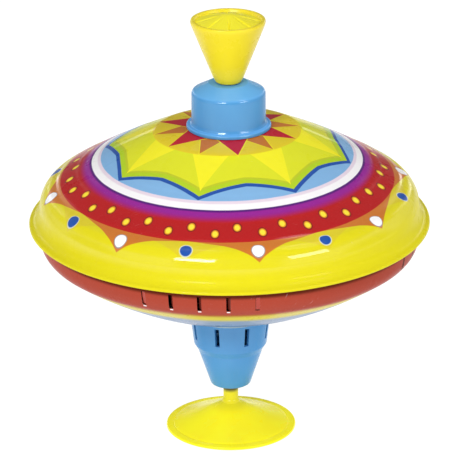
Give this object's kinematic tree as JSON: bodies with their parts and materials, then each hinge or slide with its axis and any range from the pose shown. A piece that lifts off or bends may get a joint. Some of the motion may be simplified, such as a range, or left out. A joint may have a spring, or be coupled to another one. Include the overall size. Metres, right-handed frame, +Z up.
{
  "type": "spinning top",
  "caption": "Pump-action humming top: a round tin body with a conical plastic base that spins on a foot disc, driven by a knob on a twisted rod.",
  "frame": {"origin": "centre of the foot disc's underside, on the floor", "axes": "+Z up along the spin axis, from the foot to the knob; the vents are in four rows round it"},
  "size_m": [0.1902, 0.1902, 0.2086],
  "materials": {
    "foot_plastic": "moulded yellow plastic",
    "knob_plastic": "moulded yellow plastic",
    "blue_plastic": "moulded blue plastic",
    "upper_litho": "printed and varnished tinplate",
    "lower_litho": "printed and varnished tinplate",
    "steel": "bright drawn steel",
    "rod_steel": "bright twisted steel strip, lightly oiled",
    "brass": "rolled brass",
    "nylon": "natural nylon"
  },
  "bodies": {
    "foot": {"foot_disc": "foot_plastic", "foot_pin": "steel", "pin_clip": "steel"},
    "casing": {"pivot_bush": "brass", "thrust_disc": "steel", "lower_cone": "blue_plastic", "cone_lock_ring": "steel", "lower_shell": "lower_litho", "upper_shell": "upper_litho", "reed_plate": "nylon", "reeds": "brass", "reed_rivets": "brass", "guide_tube": "steel", "clutch_housing": "steel", "dome_lock_ring": "steel", "ratchet_ring": "nylon", "clutch_cover": "steel", "collar": "blue_plastic", "guide_bush": "steel"},
    "plunger": {"knob": "knob_plastic", "spiral_rod": "rod_steel", "rod_stop": "steel"},
    "clutch_nut": {"drive_nut": "nylon"}
  },
  "joints": [
    {"name": "spin", "type": "hinge", "parent": "foot", "child": "casing", "pos_m": [0, 0, 0.04], "axis": [0, 0, 1], "continuous": true},
    {"name": "pump", "type": "slide", "parent": "casing", "child": "plunger", "axis": [0, 0, 1], "range_m": [0, 0.095]},
    {"name": "nut_turn", "type": "hinge", "parent": "casing", "child": "clutch_nut", "pos_m": [0, 0, 0.1535], "axis": [0, 0, 1], "continuous": true}
  ],
  "couplings": [
    {"joint": "nut_turn", "follows": "pump", "rad_per_m": -174.53}
  ]
}
